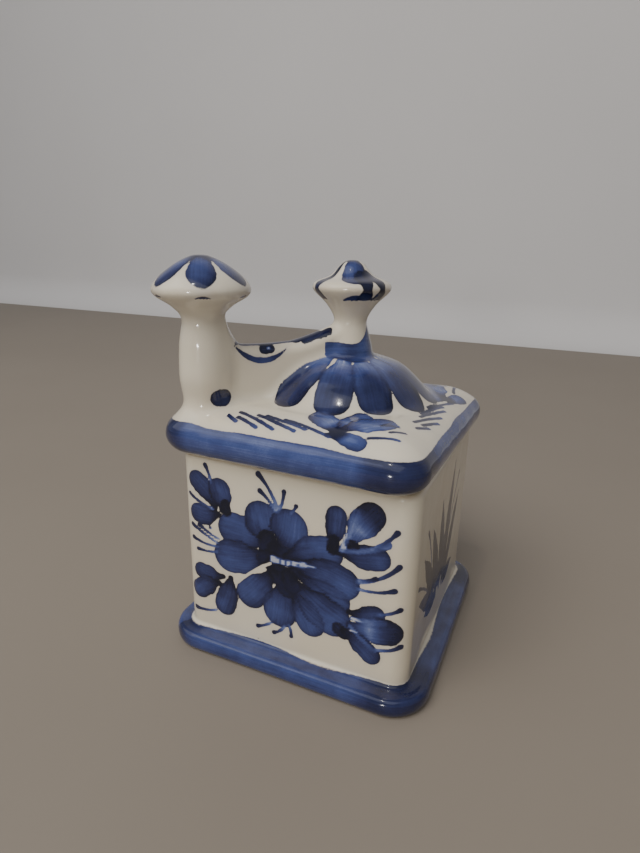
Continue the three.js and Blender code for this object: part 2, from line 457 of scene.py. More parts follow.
def close_and_turn_out(mesh):
    """Closes the two small middles, turns every face outwards and wraps the mesh in an object."""
    work = bmesh.new()
    work.from_mesh(mesh)
    bmesh.ops.holes_fill(work, edges=[edge for edge in work.edges if edge.is_boundary])
    bmesh.ops.recalc_face_normals(work, faces=work.faces)
    if work.calc_volume(signed=True) < 0:
        bmesh.ops.reverse_faces(work, faces=work.faces)
    work.to_mesh(mesh)
    work.free()
    mesh.shade_smooth()
    return add_object(mesh.name, mesh)


# ------------------------------------------------------------------ lid casting


def square_half(x, y, corner_at):
    """Half of the rounded square of the lid's family that passes through a point."""
    x, y = np.abs(x), np.abs(y)
    half = np.maximum(x, y)
    for _ in range(3):
        corner = corner_at(half)
        flat = half - corner
        half = half + np.hypot(np.maximum(x - flat, 0), np.maximum(y - flat, 0)) - corner
    return half


def lid_corner_at(half):
    return np.maximum(LID_CORNER + (half - LID_HALF) * 0.8, np.minimum(2.0, half / 2))


def lid_half(x, y):
    return square_half(x, y, lid_corner_at)


def arm_ridge(s):
    """Height of the top of the crank, along the line from the bell to the upright."""
    rise_to_collar = 4.6 * np.maximum(0, 1 - s / 14) ** 1.4
    rise_to_upright = np.minimum(30 * np.maximum(0, 1 - (UPRIGHT_S - s) / 10) ** 2, 6.0)
    return ARM_Z + rise_to_collar + rise_to_upright


def crank_frame(x, y):
    """Distance along the crank from the lid's middle, and to its front side."""
    return -(x + y) / math.sqrt(2), (x - y) / math.sqrt(2)


class LidClay:
    """Signed distance to the lid in its own frame."""

    def __init__(self):
        roof = Outline(0.0, LID_SEAT_Z - LOCATING_RIM_DROP)
        roof.line(LOCATING_RIM_HALF - 1.0, LID_SEAT_Z - LOCATING_RIM_DROP)
        roof.line(LOCATING_RIM_HALF, LID_SEAT_Z - LOCATING_RIM_DROP + 1.0)
        roof.line(LOCATING_RIM_HALF, LID_SEAT_Z)
        seat_half = LID_HALF - LID_EDGE_R
        roof.roll(seat_half, LID_EDGE_Z, LID_EDGE_R, -math.pi / 2, math.pi / 3)
        roof.curve(seat_half - 0.9, 70.4, 24.0, 71.6).line(0.0, ROOF_Z)
        self.roof = Field(roof.points)

        inner = LOCATING_RIM_HALF - LID_WALL
        hollow = Outline(0.0, 51.0).line(inner, 51.0).line(inner, HOLLOW_Z - 2.6)
        hollow.curve(inner, HOLLOW_Z, inner - 2.6, HOLLOW_Z).line(0.0, HOLLOW_Z)
        self.hollow = Field(hollow.points)
        under_bell = smooth_outline((19.6, 64), (19, 66), (18.6, 71), (15, 75.2), (8, 78.2), (2, 79), (0, 79))
        self.under_bell = Field([(0, 62.5), (19.6, 62.5)] + under_bell)

        dome = smooth_outline((BELL_R, 71), (22.4, 73.4), (19.2, 76.6), (14.4, 80.2), (COLLAR_R, BELL_TOP_Z))
        self.bell = Field([(0, BURIED_Z), (BELL_R, BURIED_Z)] + dome + [(0, BELL_TOP_Z + 0.4)])
        neck = ((5.6, 81), (COLLAR_R, 84.2), (5.4, 88.4), (4.6, 92.4), (6.6, 96.2), (10, 99.6))
        cap = ((FINIAL_R, 101.2), (9.6, 102.7), (5.9, 104.2))
        crown = ((3.3, 107), (1.4, FINIAL_Z - 0.1), (0, FINIAL_Z))
        self.finial = Field([(0, 78), (5.6, 78)] + smooth_outline(*neck, *cap, *crown))
        foot = ((8.6, 66), (7.2, 68.6), (5.7, 72.5))
        post = ((6.7, 79), (6.2, 87), (5.3, 93.4), (7.6, 96.6), (11.5, 99.2))
        knob = ((KNOB_R, 101.2), (10.3, 103.9), (6.0, 107.1), (2.3, KNOB_Z - 0.3), (0, KNOB_Z))
        self.upright = Field([(0, BURIED_Z), (8.6, BURIED_Z)] + smooth_outline(*foot, *post, *knob))

    def crank(self, x, y, z):
        s, t = crank_frame(x, y)
        top = arm_ridge(np.clip(s, -2.0, UPRIGHT_S))
        beyond = np.maximum(np.maximum(s - UPRIGHT_S, BELL_S - s), 0)
        thick = ARM_R + 0.28 * np.sin(s / 5.2 + 0.6) + 0.05 * np.maximum(top - ARM_R - z, 0)
        over = np.maximum(np.maximum(z - (top - ARM_R), BURIED_Z + ARM_R - z), 0)
        return np.sqrt(t * t + over * over + beyond * beyond) - thick

    def __call__(self, x, y, z):
        clay = self.roof(lid_half(x, y), z)
        bell_r = np.hypot(x - BELL_XY, y - BELL_XY)
        upright_r = np.hypot(x + UPRIGHT_XY, y + UPRIGHT_XY)
        clay = blend_clay(clay, self.bell(bell_r, z), 1.8)
        clay = blend_clay(clay, self.upright(upright_r, z), 2.6)
        clay = blend_clay(clay, self.crank(x, y, z), 3.2)
        clay = blend_clay(clay, self.finial(bell_r, z), 1.6)
        uneven = 0.16 * hand_wobble(x, y, z, 9.0, 1.0) + 0.07 * hand_wobble(x, y, z, 3.4, 2.0)
        clay = clay + uneven * smoothstep(LID_EDGE_Z - 3, LID_EDGE_Z + 1, z)
        hollow = blend_clay(self.hollow(lid_half(x, y), z), self.under_bell(bell_r, z), 3.0)
        return np.maximum(clay, -hollow)


def surface_net(values, low, step):
    """Places and four-sided faces of the zero surface of a grid of distances."""
    inside = values < 0
    shape = np.array(values.shape)
    corner_list, place_list, face_list = [], [], []
    for axis in range(3):
        lower = [slice(None)] * 3
        upper = [slice(None)] * 3
        lower[axis] = slice(None, -1)
        upper[axis] = slice(1, None)
        a, b = values[tuple(lower)], values[tuple(upper)]
        index = np.argwhere(inside[tuple(lower)] != inside[tuple(upper)])
        start = a[tuple(index.T)]
        end = b[tuple(index.T)]
        place = index.astype(float)
        place[:, axis] += start / (start - end)
        across, up = (axis + 1) % 3, (axis + 2) % 3
        cells = []
        for da, du in ((0, 0), (-1, 0), (-1, -1), (0, -1)):
            cell = index.copy()
            cell[:, across] += da
            cell[:, up] += du
            cells.append(np.ravel_multi_index(tuple(cell.T), shape))
            corner_list.append(cells[-1])
            place_list.append(place)
        quad = np.stack(cells, axis=1)
        quad[start > 0] = quad[start > 0, ::-1]
        face_list.append(quad)
    corners, places = np.concatenate(corner_list), np.concatenate(place_list)
    used, which = np.unique(corners, return_inverse=True)
    count = np.bincount(which)
    centre = np.stack([np.bincount(which, places[:, i]) / count for i in range(3)], axis=1)
    faces = np.searchsorted(used, np.concatenate(face_list))
    return centre * step + low, faces


def slope(clay, places, reach=0.12):
    """Value and gradient of the clay at each place."""
    x, y, z = places.T
    gradient = np.stack(
        [
            clay(x + reach, y, z) - clay(x - reach, y, z),
            clay(x, y + reach, z) - clay(x, y - reach, z),
            clay(x, y, z + reach) - clay(x, y, z - reach),
        ],
        axis=1,
    ) / (2 * reach)
    return clay(x, y, z), gradient


def neighbour_mean(places, faces):
    """Mean place of the neighbours of each place along the faces' sides."""
    a = faces.ravel()
    b = np.roll(faces, -1, axis=1).ravel()
    count = np.bincount(a, minlength=len(places)) + np.bincount(b, minlength=len(places))
    total = [
        np.bincount(a, places[b, i], len(places)) + np.bincount(b, places[a, i], len(places))
        for i in range(places.shape[1])
    ]
    return np.stack(total, axis=1) / count[:, None]


def model_lid(clay):
    """The lid's skin: the zero surface of the clay, evened out and drawn back on to it."""
    axes = [np.arange(a, b, CLAY_STEP) for a, b in zip(CLAY_LOW, CLAY_HIGH)]
    values = np.empty([len(axis) for axis in axes])
    for i, x in enumerate(axes[0]):
        y, z = np.meshgrid(axes[1], axes[2], indexing="ij")
        values[i] = clay(np.full(y.shape, x), y, z)
    places, faces = surface_net(values, CLAY_LOW, CLAY_STEP)
    for evening in (0.6, 0.6, 0.4, 0.0):
        places += evening * (neighbour_mean(places, faces) - places)
        value, gradient = slope(clay, places)
        steep = np.maximum((gradient**2).sum(axis=1), 0.25)
        places -= gradient * (np.clip(value, -0.6, 0.6) / steep)[:, None]
    return places, faces


def lid_casting(glaze):
    """The lid, with the place of every vertex in the lid's own frame and its outward way."""
    clay = LidClay()
    own, faces = model_lid(clay)
    _, outward = slope(clay, own)
    outward /= np.maximum(np.linalg.norm(outward, axis=1), 1e-6)[:, None]
    c, s = math.cos(LID_TURN), math.sin(LID_TURN)
    laid = own.copy()
    laid[:, 0] = c * own[:, 0] - s * own[:, 1] + LID_SHIFT[0]
    laid[:, 1] = s * own[:, 0] + c * own[:, 1] + LID_SHIFT[1]
    return mesh_piece("lid_casting", laid, faces, glaze), own, outward


# ------------------------------------------------------------------ painting

# Pigment runs from 0, a pale wash, to 1, where the brush was first set down. A stroke's three
# tones are at its start, middle and end.
PETAL_TONES = (1.05, 0.68, 0.58)
SPRAY_TONES = (1.05, 0.72, 0.66)
DARK_END_TONES = (0.72, 0.28, 0.9)
HAIR_TONES = (1.0, 0.72, 0.24)
PALE_HAIR_TONES = (0.5, 0.12, 0.02)
CENTRE_TONES = (1.1, 1.1, 1.1)
CENTRE_FADE = (1.1, 0.84, 0.66)
PALE_TONES = (0.02, 0.0, 0.02)
LEAF_TONES = (0.78, 0.32, 0.46)
BELL_TONES = (0.06, 0.5, 0.8)
GREY_TONES = (1.1, 1.0, 0.85)
SPOKE_TONES = (0.8, 0.46, 0.66)
FINIAL_TONES = (0.8, 0.55, 0.65)

# Half width of each tool's mark at a share t of its length, as a share of its widest.
BRUSH_WIDTHS = {
    "petal": lambda t: 0.3 + 0.7 * smoothstep(0, 0.72, t),
    "spray": lambda t: 0.3 + 0.7 * smoothstep(0, 0.6, t),
    "spoke": lambda t: 0.56 + 0.44 * smoothstep(0, 1, t),
    "drop": lambda t: 0.16 + 0.84 * smoothstep(0, 0.9, t),
    "leaf": lambda t: np.sin(np.pi * np.clip(t, 0.02, 0.98) ** 0.85) ** 0.8,
    "hair": lambda t: 1.05 + 0.45 * np.exp(-((t / 0.14) ** 2)) - 0.15 * t,
}
ROUND_ENDED = ("petal", "spray", "spoke", "drop", "dab", "pale", "gap", "soak")
SPINE_POINTS = 15

# Where the blue bands end: up the plinth, and in over the lid's rolled edge.
PLINTH_BAND_Z = 6.0
LID_BAND_HALF = 34.2


class Painting:
    """Cobalt on one casting: how deep inside a stroke each place lies, and the pigment it took."""

    def __init__(self, count):
        self.inside = np.full(count, -9.0)
        self.pigment = np.full(count, 0.5)
        self.along = np.zeros(count)
        self.across = np.zeros(count)

    def lay(self, where, inside, pigment, along, across, wipe=False):
        """One stroke over what is there. What is darker below shows through, unless it is wiped."""
        before = self.inside[where]
        below = self.pigment[where]
        painted = smoothstep(-0.1, 0.4, before)
        if not wipe:
            pigment = pigment + 0.5 * np.maximum(below - pigment, 0) * painted
        take = np.where(before > 0, smoothstep(-0.2, 0.2, inside), inside > before)
        self.pigment[where] = below + (pigment - below) * take
        self.inside[where] = np.maximum(before, inside)
        fresh = where[take > 0.5]
        self.along[fresh] = along[take > 0.5]
        self.across[fresh] = across[take > 0.5]

    def lift(self, where, inside):
        """A line left bare between two strokes."""
        self.inside[where] = np.minimum(self.inside[where], -inside)

    def soak(self, where, inside, pigment):
        """Wet pigment dropped on a stroke, which spreads softly beyond where it was put."""
        below = self.pigment[where]
        self.pigment[where] = below + np.maximum(pigment - below, 0) * smoothstep(-2.2, 0.8, inside)


def along_spine(place, start, middle, end):
    """Distance from a bent line, share along it, distance travelled, and offset to one side."""
    t = np.linspace(0, 1, SPINE_POINTS)[:, None]
    spine = (1 - t) ** 2 * start + 2 * t * (1 - t) * middle + t * t * end
    nearest = np.full(len(place), 1e9)
    along, travel, across = np.zeros((3, len(place)))
    for i, (a, b) in enumerate(zip(spine, spine[1:])):
        step = b - a
        ahead = (place - a) @ step / (step @ step)
        share = np.clip(ahead, 0, 1)
        off = place - a - share[:, None] * step
        gap = np.linalg.norm(off, axis=1)
        better = gap < nearest
        nearest[better] = gap[better]
        along[better] = (i + share[better]) / (len(spine) - 1)
        travel[better] = (i + ahead[better]) * np.linalg.norm(step)
        sideways = (step[0] * off[:, 1] - step[1] * off[:, 0]) / np.linalg.norm(step)
        across[better] = sideways[better]
    return nearest, along, travel, across


def brush(painting, chart, strokes, tool, tones, sway=0.0):
    """Lays strokes given as (start u, start v, end u, end v, half width, bend)."""
    where, u, v = chart
    for number, (u0, v0, u1, v1, half, bend) in enumerate(strokes):
        start, end = np.array([u0, v0]), np.array([u1, v1])
        length = np.linalg.norm(end - start)
        way = (end - start) / length
        if tool in ROUND_ENDED:
            end = end - way * min(half, 0.9 * length)
        middle = (start + end) / 2 + np.array([-way[1], way[0]]) * bend * length
        margin = half + 2.0 + abs(bend) * length
        low = np.minimum(start, end) - margin
        high = np.maximum(start, end) + margin
        near = (u > low[0]) & (u < high[0]) & (v > low[1]) & (v < high[1])
        if not near.any():
            continue
        place = np.stack([u[near], v[near]], axis=1)
        nearest, along, travel, across = along_spine(place, start, middle, end)
        slow = 0.1 * np.sin(along * length * 0.8 + number)
        uneven = slow + 0.07 * np.sin(along * length * 2.1 + 2 * number)
        width = BRUSH_WIDTHS[tool](along) if tool in BRUSH_WIDTHS else 1.0
        inside = half * width - nearest + (uneven if half > 1 else 0.3 * uneven)
        pigment = np.interp(along, (0, 0.5, 1), tones)
        if tool == "gap":
            painting.lift(where[near], inside)
        elif tool == "soak":
            painting.soak(where[near], inside, pigment)
        else:
            if half > 1 and tool != "pale":
                depth = np.maximum(inside, 0)
                pooled = 0.14 * np.exp(-depth / 0.35) + 0.26 * np.exp(-depth / 1.4)
                pigment = pigment + pooled + sway * across / half
            painting.lay(where[near], inside, pigment, travel + 17.0 * number, across, tool == "pale")


def fan(turns, start_r, end_r, half, bend=0.0):
    """Strokes laid like spokes about the middle of a chart, at turns in degrees."""
    strokes = []
    for turn in turns:
        c, s = math.cos(math.radians(turn)), math.sin(math.radians(turn))
        strokes.append((start_r * c, start_r * s, end_r * c, end_r * s, half, bend))
    return strokes


def paint_flower_heads(painting, chart):
    """The upper and the lower flower, which share petals, with their dark centres and stamens."""
    back_petals = (
        (-4.5, 37.5, -21.0, 40.2, 5.0, -0.05),
        (-5, 38, -9.6, 49.2, 5.0, 0.08),
        (-2, 37.5, 2.4, 48.8, 5.6, -0.08),
    )
    front_petals = (
        (-6, 34.5, -22.4, 29.4, 5.0, 0.08),
        (0, 35, 15.0, 41.2, 4.5, 0.1),
    )
    lower_petals = (
        (3.0, 31.0, 17.4, 25.0, 3.6, 0.0),
        (-4.5, 29.5, -14.0, 17.4, 4.5, 0.04),
        (1.5, 33.4, 20.2, 31.4, 4.9, 0.06),
        (-2, 27, -2.6, 13.2, 4.9, 0.04),
        (1.5, 25, 9.2, 14.0, 4.2, 0.08),
        (2, 28.5, 17.0, 17.6, 5.3, -0.1),
    )
    upper_soak = ((-6.6, 32.8, -4.8, 38.6, 1.5, 0.0), (-6.0, 35.4, 2.0, 34.6, 0.9, 0.0))
    lower_soak = ((-2.4, 30.2, 0.8, 25.4, 1.7, 0.0), (-4.4, 30.8, 1.6, 30.8, 0.7, 0.0))
    brush(painting, chart, back_petals, "petal", PETAL_TONES, sway=0.1)
    upper_centre = (
        (-7.4, 33.0, 3.0, 34.8, 1.9, 0.0),
        (-5.8, 39.0, -6.0, 31.8, 2.6, 0.0),
        (-4.0, 36.8, 3.6, 35.8, 1.8, 0.0),
    )
    brush(painting, chart, upper_centre, "dab", CENTRE_FADE)
    brush(painting, chart, front_petals, "petal", PETAL_TONES, sway=-0.1)
    brush(painting, chart, upper_soak, "soak", CENTRE_FADE)
    brush(painting, chart, lower_petals, "petal", PETAL_TONES, sway=0.12)
    lower_centre = (
        (-3.4, 30.4, 1.4, 23.6, 2.8, 0.05),
        (-5.6, 31.2, 3.4, 31.0, 1.2, 0.0),
        (0.4, 29.4, 2.4, 25.0, 2.4, 0.0),
        (-4.2, 29.4, -2.4, 26.4, 1.5, 0.0),
    )
    brush(painting, chart, lower_centre, "dab", (1.1, 0.95, 0.85))
    brush(painting, chart, lower_soak, "soak", CENTRE_TONES)
    brush(painting, chart, ((14.6, 18.4, 17.6, 16.4, 1.7, 0.0),), "dab", (0.85, 0.9, 0.95))
    brush(painting, chart, ((-15.6, 23.2, -4.6, 32.4, 0.42, 0.06),), "gap", PALE_TONES)
    stamens = (
        (-4.3, 33.1, 5.6, 34.3, 0.75, 0.0),
        (-4.5, 34.0, 0.6, 33.0, 0.6, 0.0),
        (4, 34.1, 8.0, 34.4, 0.35, 0.0),
    )
    brush(painting, chart, stamens, "pale", PALE_TONES)
    dots = [(x, 32.8, x + 0.15, 34.4, 0.16, 0.0) for x in (-2.2, -0.6, 0.9)]
    dots.append((2.9, 33.6, 3.4, 33.8, 0.35, 0.0))
    brush(painting, chart, dots, "dab", (0.6, 0.6, 0.6))


def paint_sprays(painting, chart):
    """Buds on both sides of the flower."""
    sprays = (
        (-21.8, 44.4, -29.0, 53.8, 2.9, -0.1),
        (-19.4, 44.4, -20.8, 53.2, 3.4, -0.05),
        (-21.0, 42.7, -30.2, 41.3, 3.1, 0.1),
        (-20.0, 23.8, -29.8, 23.8, 2.7, 0.1),
        (-21.4, 21.2, -30.6, 16.2, 3.1, -0.1),
        (-17.6, 24.0, -20.6, 11.4, 3.4, 0.04),
        (12.6, 41.4, 13.5, 52.8, 2.8, 0.0),
        (14.6, 40.6, 27.6, 41.4, 3.4, -0.04),
        (17.6, 24.2, 26.9, 26.3, 2.5, -0.1),
        (16.0, 18.2, 26.0, 11.8, 2.9, 0.08),
    )
    brush(painting, chart, sprays, "spray", SPRAY_TONES, sway=0.1)
    dark_ended = ((16.8, 43.2, 24.0, 55.2, 3.9, 0.06), (18.0, 20.4, 31.6, 22.0, 3.9, -0.04))
    brush(painting, chart, dark_ended, "petal", DARK_END_TONES)
    lobes = (
        (-18.2, 44.2, -18.6, 47.4, 1.4, 0.0),
        (12.6, 41.0, 13.0, 45.0, 1.5, 0.0),
        (16.6, 43.4, 19.6, 43.0, 1.2, 0.0),
    )
    brush(painting, chart, lobes, "dab", CENTRE_TONES)


def paint_hairs(painting, chart):
    """Pale veins over the sprays, and thin dark stalks that run in from a drop."""
    pale_hairs = (
        (18.4, 52.0, 14.8, 41.0, 0.75, 0.04),
        (26.4, 45.4, 14.8, 41.2, 0.75, 0.14),
        (26.5, 23.9, 18.3, 22.6, 0.6, 0.06),
        (24.5, 15.2, 17.8, 20.0, 0.6, 0.06),
    )
    brush(painting, chart, pale_hairs, "hair", PALE_HAIR_TONES)
    hairs = (
        (-24.4, 56.3, -22.8, 51.6, 0.5, 0.08),
        (-8.3, 56.8, -2.6, 47.8, 0.55, 0.12),
        (-7.9, 52.3, -3.4, 47.6, 0.55, 0.1),
        (-1, 53.4, -2.2, 48.4, 0.5, 0.1),
        (2.4, 50.2, 1.0, 48.0, 0.45, 0.1),
        (-30, 47.1, -22.4, 43.9, 0.45, -0.12),
        (-29.6, 37.9, -21.6, 34.0, 0.45, -0.06),
        (-27.2, 38.2, -21, 35.2, 0.45, -0.08),
        (-29.4, 33.9, -21.6, 32.8, 0.45, -0.14),
        (-28, 30.6, -21.8, 31.1, 0.45, -0.1),
        (28.6, 49.2, 22.4, 43.4, 0.55, 0.12),
        (29.6, 40.4, 19.6, 33.4, 0.55, 0.16),
        (24, 35.7, 19.4, 34.0, 0.5, 0.12),
        (28.9, 33.7, 19.6, 31.6, 0.5, 0.14),
        (30.4, 28.6, 25.4, 26.0, 0.5, 0.1),
        (31.0, 17.9, 25.0, 15.4, 0.55, 0.1),
        (-9.2, 11.2, -5.2, 13.4, 0.5, -0.1),
        (-4.2, 10.7, -0.9, 13.8, 0.5, -0.2),
        (1.1, 11.2, 0.4, 14.5, 0.5, -0.15),
        (-30, 10.9, -23, 11.9, 0.5, -0.12),
        (-23.7, 38.1, -23.4, 38.0, 0.35, 0.0),
    )
    brush(painting, chart, hairs, "hair", HAIR_TONES)


def paint_wall_flower(painting, chart):
    """The double flower with its sprays, in millimetres across and up one wall."""
    paint_flower_heads(painting, chart)
    paint_sprays(painting, chart)
    paint_hairs(painting, chart)


def paint_wall_blades(painting, chart):
    """The tall tuft of blades on the two other walls."""
    tall = (
        (-8, 17, -22, 37, 2.9, -0.08),
        (-4, 16, -14, 42, 3.0, -0.06),
        (0, 16, -4, 46, 3.0, -0.04),
        (3.5, 16, 9.5, 53, 3.0, 0.04),
        (7, 16, 19, 40, 2.6, 0.08),
    )
    low = (
        (-9, 16, -24, 25, 2.6, -0.1),
        (-4, 15.5, -17, 17, 2.8, -0.1),
        (3, 15.5, 14, 27, 2.8, 0.08),
        (5, 14.5, 17, 17, 2.4, 0.1),
        (-2, 18, -9, 30, 3.0, -0.04),
        (1, 18, 2, 33, 2.8, 0.04),
    )
    brush(painting, chart, tall, "leaf", GREY_TONES, sway=0.1)
    brush(painting, chart, low, "leaf", (0.9, 0.66, 0.62), sway=0.12)
    hairs = ((-20, 44, -13, 31, 0.42, 0.06), (17, 47, 9, 33, 0.42, -0.06), (-26, 31, -14, 23, 0.42, 0.08))
    brush(painting, chart, hairs, "hair", HAIR_TONES)


def paint_plinth(painting, x, y, z, half):
    """A wavy-topped blue band, darker round the corner on the right."""
    around = np.arctan2(y, x) * WALL_HALF
    top = PLINTH_BAND_Z + 0.35 * np.sin(around / 5.5)
    inside = np.minimum(np.minimum(top - z, z - 0.35), (half - WALL_HALF + 0.6) * 3)
    corner = smoothstep(22, 31, np.minimum(np.abs(x), np.abs(y)) + 0.12 * x)
    pooled = 0.1 * np.exp(-np.maximum(inside, 0) / 0.5)
    pigment = 0.66 + 0.3 * corner * smoothstep(-0.2, 0.4, x - y) + pooled
    where = np.nonzero(inside > -2)[0]
    painting.lay(where, inside[where], pigment[where], around[where], 2 * z[where])


def paint_box(piece):
    """The box's painting, and how bare of glaze each place is: the foot ring alone is."""
    places = places_of(piece)
    x, y, z = places.T
    painting = Painting(len(places))
    walls = (
        (-y, x, paint_wall_flower),
        (x, y, paint_wall_blades),
        (y, -x, paint_wall_flower),
        (-x, -y, paint_wall_blades),
    )
    on_wall = (z > PLINTH_Z) & (z < RIM_Z - 0.5)
    for out, across, paint in walls:
        facing = (out > WALL_HALF - 0.75 * WALL_CORNER) & (np.abs(across) <= out)
        where = np.nonzero(facing & on_wall)[0]
        paint(painting, (where, across[where], z[where]))
    half = square_half(x, y, lambda h: np.full_like(h, 5.0))
    paint_plinth(painting, x, y, z, half)
    bare = smoothstep(0.35, 0.0, z) * smoothstep(FOOT_RING_HALF - 1, FOOT_RING_HALF, half)
    return painting, bare


def paint_roof(painting, own, outward, clay):
    """Leaf sprays and rows of short strokes on the roof's four sides."""
    x, y, z = own.T
    half = lid_half(x, y)
    bell_r = np.hypot(x - BELL_XY, y - BELL_XY)
    on_roof = (outward[:, 2] > 0.3) & (half < LID_HALF) & (z > 65) & (z < 77) & (bell_r > BELL_R - 1.5)
    on_roof &= (clay.crank(x, y, z) > 0.6) & (np.hypot(x + UPRIGHT_XY, y + UPRIGHT_XY) > 9.5)
    leaves = (
        (13.0, -29.4, 4.2, -21.8, 3.0, -0.1),
        (13.4, -28.6, 17.2, -18.0, 3.0, 0.05),
        (14.6, -28.0, 25.0, -20.0, 3.9, 0.1),
        (22.6, -23.2, 30.6, -16.6, 1.9, 0.05),
        (11.6, -30.4, 22.0, -31.8, 2.1, 0.08),
    )
    hatches = (
        (-17.2, -29.2, -13.2, -31.2, 0.56, 0.0),
        (-13.5, -29.6, -6.9, -31.9, 0.56, 0.02),
        (-14.1, -27.6, -2.3, -31.5, 0.56, 0.03),
        (-8.8, -27.6, 3.2, -31.0, 0.56, 0.03),
        (-6.5, -27.2, 5.6, -29.9, 0.5, 0.03),
        (-1.2, -27.4, 12.4, -31.0, 0.5, 0.04),
        (23.2, -16.4, 26.6, -11.5, 0.52, 0.05),
        (25.4, -25.7, 30.5, -21.7, 0.5, 0.05),
        (21.5, -29.2, 28.3, -28.0, 0.5, 0.05),
    )
    for quarter in range(4):
        c, s = (1, 0, -1, 0)[quarter], (0, 1, 0, -1)[quarter]
        u, v = c * x + s * y, c * y - s * x
        where = np.nonzero(on_roof & (v < -0.9 * np.abs(u) + 3))[0]
        clear_of_crank = 15.0 if quarter == 3 else 0.0
        chart = (where, u[where] + clear_of_crank, v[where])
        brush(painting, chart, leaves[:3], "spray", LEAF_TONES, sway=0.14)
        brush(painting, chart, leaves[3:], "spray", LEAF_TONES, sway=-0.1)
        brush(painting, chart, ((11.6, -30.4, 15.4, -28.6, 1.2, 0.0),), "soak", CENTRE_TONES)
        brush(painting, chart, hatches, "line", (0.95, 0.85, 0.62))


def paint_bell(painting, own, outward, clay):
    """Petals laid down the bell, left bare beside the crank."""
    x, y, z = own.T
    u, v = x - BELL_XY, y - BELL_XY
    r = np.hypot(u, v)
    from_crank = clay.crank(x, y, z)
    on_bell = (z > 70) & (r < 27) & (outward[:, 2] > -0.1) & (z < BELL_TOP_Z + 1.5)
    on_bell &= (from_crank > -1.5) & (clay.bell(r, z) < 1.6)
    where = np.nonzero(on_bell)[0]
    chart = (where, u[where], v[where])
    turns = (282, 312, 341, 8, 42, 74, 106, 138, 170, 203, 248)
    brush(painting, chart, fan(turns, 6.0, 25.6, 4.9, 0.03), "petal", BELL_TONES, sway=0.1)
    brush(painting, chart, fan(turns, 17.5, 23.4, 2.2), "soak", (0.8, 0.9, 0.85))
    brush(painting, chart, ((-4.0, -6.4, -11.6, -16.2, 0.6, -0.12),), "line", (1.0, 1.05, 0.9))
    painting.inside[where] = np.minimum(painting.inside[where], from_crank[where] - 0.5)


def paint_collar(painting, own):
    """A blue ring above the bell, which rises on the side away from the crank."""
    x, y, z = own.T
    u, v = x - BELL_XY, y - BELL_XY
    turn = np.arctan2(v, u)
    low = 82.3 + 0.35 * np.sin(3 * turn + 1)
    high = 86.7 + 4.4 * np.maximum(0, np.cos(turn - math.radians(20))) ** 3 + 0.3 * np.sin(2 * turn)
    collar = np.nonzero((np.hypot(u, v) < 9.5) & (z > 78) & (z < 94))[0]
    inside = np.minimum(z - low, high - z)[collar]
    pigment = 0.62 + 0.12 * np.sin(4 * turn[collar]) + 0.2 * np.exp(-np.maximum(inside, 0) / 0.5)
    painting.lay(collar, inside, pigment, 6.5 * turn[collar], z[collar])


def paint_finials(painting, own, outward):
    """Spokes on the crank's knob, and drops, petals and dabs on the finial."""
    x, y, z = own.T
    top = outward[:, 2] > -0.8
    upright = np.nonzero(top & (z > 99.2) & (np.hypot(x + UPRIGHT_XY, y + UPRIGHT_XY) < 14))[0]
    chart = (upright, x[upright] + UPRIGHT_XY, y[upright] + UPRIGHT_XY)
    spokes = [60 * i - 52 for i in range(6)]
    brush(painting, chart, fan(spokes, 2.0, 12.1, 3.5, 0.02), "spoke", SPOKE_TONES, sway=0.12)
    brush(painting, chart, ((-1.0, 0.4, 3.4, 0.2, 2.9, 0.0),), "dab", (0.72, 0.72, 0.72))

    finial = np.nonzero(top & (z > 98) & (np.hypot(x - BELL_XY, y - BELL_XY) < 13))[0]
    chart = (finial, x[finial] - BELL_XY, y[finial] - BELL_XY)
    brush(painting, chart, fan((232, 175), 0.8, 10.9, 1.5, 0.03), "drop", (0.95, 0.95, 0.85))
    brush(painting, chart, fan((300, 50, 115), 0.2, 9.8, 3.4, 0.03), "petal", FINIAL_TONES, sway=0.1)
    brush(painting, chart, fan((316, 341, 85), 6.6, 11.4, 2.0), "dab", (0.9, 0.8, 0.95))


def paint_crank(painting, own, outward, clay):
    """A line along the crank's ridge, and an eye and a dot on its front flank."""
    x, y, z = own.T
    s, t = crank_frame(x, y)
    from_crank = clay.crank(x, y, z)
    on_ridge = (from_crank < 1.2) & (outward[:, 2] > 0.45) & (z > 84) & (s > -1) & (s < 32)
    ridge = np.nonzero(on_ridge)[0]
    chart = (ridge, s[ridge], t[ridge])
    line = (
        (29.0, 0.6, 9.0, 0.4, 0.95, 0.02),
        (12.0, 0.2, 5.2, 0.6, 1.7, 0.02),
        (10.0, 1.7, 2.4, 2.0, 1.2, 0.02),
    )
    brush(painting, chart, line, "dab", (0.85, 0.8, 0.95))
    facing = (outward[:, 0] - outward[:, 1]) / math.sqrt(2)
    on_flank = (facing > 0.05) & (t > 0.5) & (from_crank < 3.5)
    flank = np.nonzero(on_flank & (s > 8) & (s < 42) & (z > 66) & (z < 93))[0]
    chart = (flank, s[flank], z[flank])
    brush(painting, chart, ((29.4, 86.6, 14.6, 86.2, 0.85, 0.52),), "leaf", (1.0, 0.6, 0.95))
    brush(painting, chart, ((29.0, 87.2, 14.0, 87.2, 0.4, 0.0),), "line", (0.9, 0.9, 0.9))
    brush(painting, chart, ((21.6, 85.4, 18.6, 85.6, 1.2, 0.0),), "dab", (0.9, 0.95, 0.9))
    brush(painting, chart, ((20.4, 85.6, 19.8, 85.7, 0.25, 0.0),), "pale", PALE_TONES)
    brush(painting, chart, ((34.4, 73.9, 31.0, 73.8, 2.2, 0.0),), "dab", (0.8, 0.86, 0.8))


